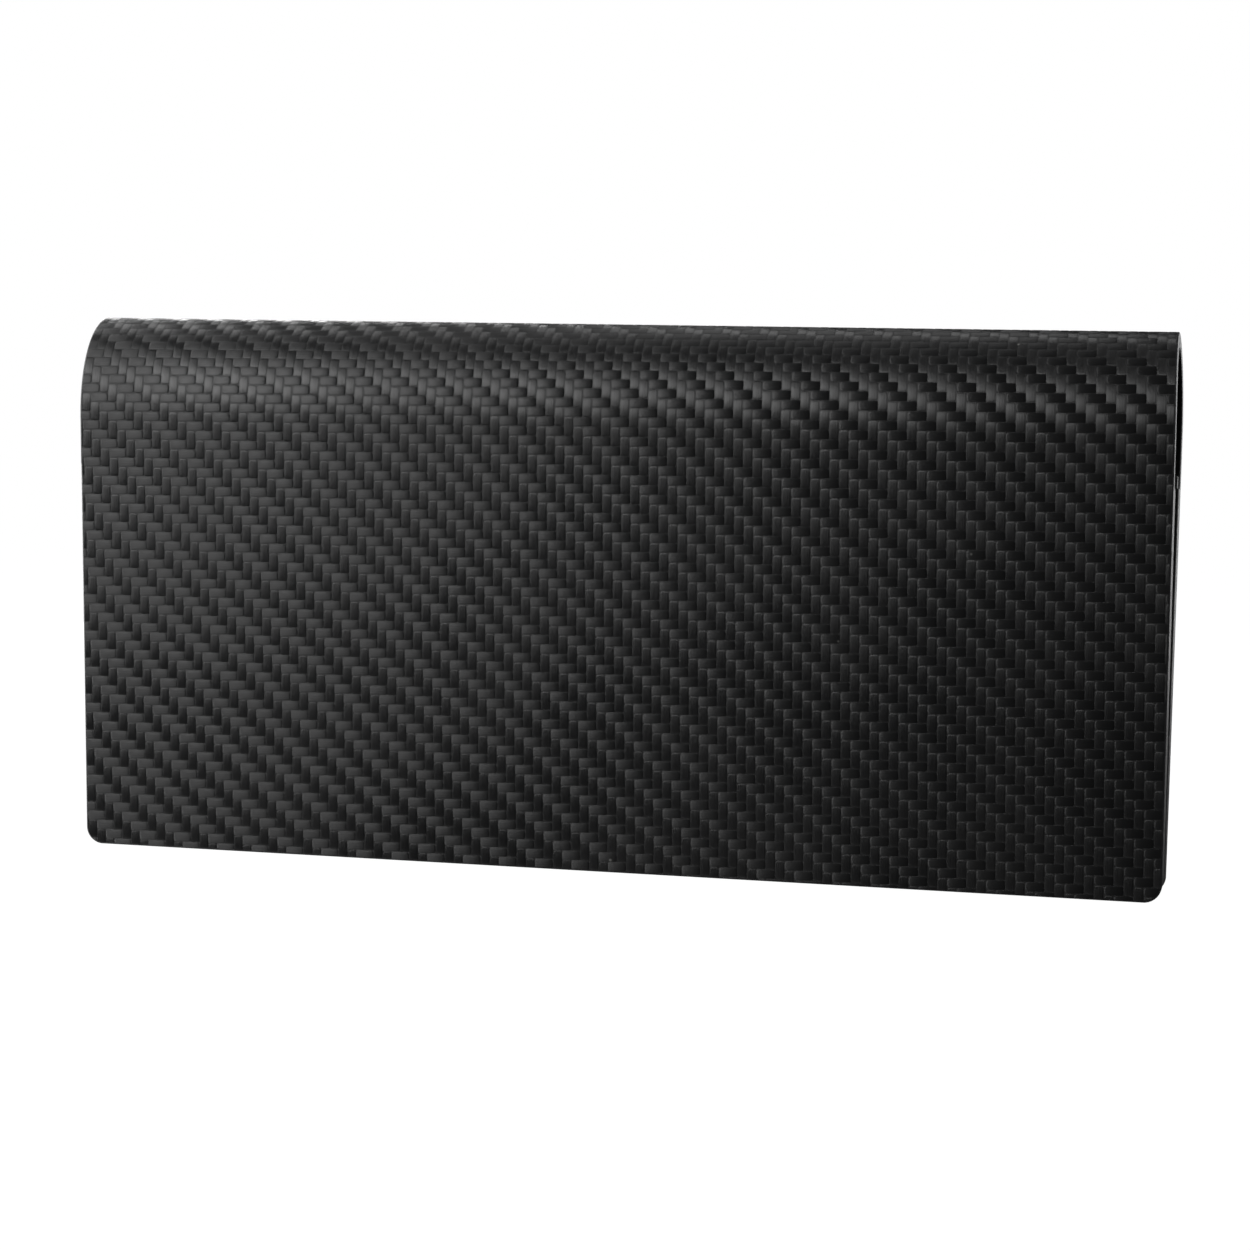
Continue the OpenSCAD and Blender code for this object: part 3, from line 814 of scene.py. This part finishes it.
# --- Edge paint ---------------------------------------------------------------------------
# Black edge paint, built up in coats to a rounded bead 0.3 mm proud of the cut layers. It runs
# round the three cut edges of each leaf and over the ends of the fold, and sands to a satin.
sheet_area = 1000 * mm * mm
stack_thickness, step_slope = slots_depth + 3 * slot_thickness, 0.15 * mm
edge_paint, tree, shader = new_finish("edge_paint")
object_place = tree.nodes.new("ShaderNodeTexCoord").outputs["Object"]
sanding = speckle(tree, object_place, 1300.0, 3.0)
layers = speckle(tree, object_place, 260.0, 3.0, (0.2, 3.0, 0.2))
height = calc(tree, "ADD", calc(tree, "MULTIPLY", sanding, 0.5), layers)
tree.links.new(raise_surface(tree, height, 0.05 * mm), shader.inputs["Normal"])
tree.links.new(blend_colour(tree, layers, (0.016, 0.016, 0.017), (0.032, 0.032, 0.034)),
               shader.inputs["Base Color"])
tree.links.new(ramp(tree, sanding, 0.3, 0.7, 0.34, 0.46), shader.inputs["Roughness"])
for back in (False, True):
    side = "back" if back else "front"
    bm = bmesh.new()
    bmesh.ops.create_grid(bm, x_segments=1, y_segments=1, size=1.1)
    bmesh.ops.scale(bm, vec=(high.x, leaf_down, 1), verts=bm.verts)
    trim_leaf(bm, 0, corner_radius)
    thicken(bm, stack_thickness)
    rims = [e for e in bm.edges if e.calc_face_angle(0) > 1 and abs(e.verts[0].co.z - e.verts[1].co.z) < 1e-6
            and min(v.co.y for v in e.verts) < -1e-6]
    bmesh.ops.bevel(bm, geom=rims, offset=paint_thickness, segments=4, profile=0.5, affect="EDGES",
                    clamp_overlap=False, material=-1)
    inner = [f for f in bm.faces if f.calc_area() > sheet_area
             or max(abs(v.co.y) for v in f.verts) < 1e-6]
    bmesh.ops.delete(bm, geom=inner, context="FACES")
    long_edges = [e for e in bm.edges if e.is_boundary and min(v.co.y for v in e.verts) < -1e-6]
    bmesh.ops.bridge_loops(bm, edges=long_edges)
    bmesh.ops.holes_fill(bm, edges=[e for e in bm.edges if e.is_boundary], sides=0)
    step_y = up_leaf(layer_tops[0])
    for cut in [*bend_lines, step_y, step_y - step_slope, *(up_leaf(h * mm) for h in range(10, 76, 8))]:
        cut_across(bm, (0, cut, 0))
    for v in bm.verts:
        if v.co.y > step_y - 1e-6:
            v.co.z *= pocket_depth / stack_thickness
    bmesh.ops.recalc_face_normals(bm, faces=bm.faces[:])
    mesh = to_mesh(bm, "painted_edge_" + side)
    wrap_leaf(mesh, back)
    painted = add_piece("painted_edge_" + side, mesh, edge_paint)
    bend_with_fold(painted)
    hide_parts(*(["edge_paint_back"] if back else ["edge_paint_front", "edge_paint_spine"]))

# --- Table and light ----------------------------------------------------------------------
# The wallet stands on a plain white lit table. A window light and a tall box on the left shape
# the fold, a low glow comes off the table, and the rest light the top, the ends and the back.
table_size = 12
bm = bmesh.new()
bmesh.ops.create_grid(bm, x_segments=4, y_segments=4, size=table_size / 2)
bmesh.ops.translate(bm, vec=(0, 0, low.z - 0.05 * mm), verts=bm.verts)
table_mesh = bpy.data.meshes.new("table")
bm.to_mesh(table_mesh)
bm.free()
white_table, tree, shader = new_finish("white_table")
shader.inputs["Base Color"].default_value = (0.05, 0.05, 0.05, 1)
shader.inputs["Roughness"].default_value = 1.0
shader.inputs["Specular IOR Level"].default_value = 0.0
shader.inputs["Emission Color"].default_value = (1, 1, 1, 1)
shader.inputs["Emission Strength"].default_value = 1.0
table = add_piece("table", table_mesh, white_table)
table.visible_glossy = table.visible_diffuse = table.visible_shadow = False

world = bpy.data.worlds.new("studio")
world.use_nodes = True
nodes, links = world.node_tree.nodes, world.node_tree.links
background = nodes["Background"]
background.inputs["Strength"].default_value = 0.01
seen = nodes.new("ShaderNodeBackground")
seen.inputs["Color"].default_value = (1, 1, 1, 1)
direct = nodes.new("ShaderNodeLightPath")
choose = nodes.new("ShaderNodeMixShader")
background.inputs["Color"].default_value = (1, 1, 1, 1)
links.new(direct.outputs["Is Camera Ray"], choose.inputs[0])
links.new(background.outputs[0], choose.inputs[1])
links.new(seen.outputs[0], choose.inputs[2])
links.new(choose.outputs[0], nodes["World Output"].inputs["Surface"])
bpy.context.scene.world = world


front_aim, light_distance = Vector((-0.06, 0, 0.07)), 0.6


def soft_light(name, azimuth, elevation, width, height, radiance):
    """A rectangular soft light that faces the wallet, placed by its direction in degrees."""
    a, e = math.radians(azimuth), math.radians(elevation)
    back = Vector((math.sin(a) * math.cos(e), -math.cos(a) * math.cos(e), math.sin(e)))
    right = Vector((math.cos(a), math.sin(a), 0))
    data = bpy.data.lights.new(name, "AREA")
    data.shape = "RECTANGLE"
    data.size, data.size_y = width, height
    data.energy = radiance * math.pi * width * height
    data.spread = math.radians(180)
    light = bpy.data.objects.new(name, data)
    bpy.context.collection.objects.link(light)
    turn = Matrix((right, back.cross(right), back)).transposed()
    light.matrix_world = Matrix.Translation(front_aim + back * light_distance) @ turn.to_4x4()
    light.visible_camera = False


soft_light("window", -25, 20, 0.25, 0.25, 8)
soft_light("side_box", -70, 15, 0.4, 0.6, 6)
soft_light("table_glow", -60, -45, 0.3, 0.3, 2)
soft_light("behind_left", -120, 45, 0.25, 0.25, 5)
soft_light("behind_high", 180, 60, 0.25, 0.25, 2)
soft_light("edge_card", 140, 5, 0.25, 0.25, 2.5)
soft_light("right_card", 95, 20, 0.25, 0.25, 6)
soft_light("back_card", 215, 12, 0.4, 0.4, 8)
bpy.context.scene.view_settings.view_transform = "Standard"
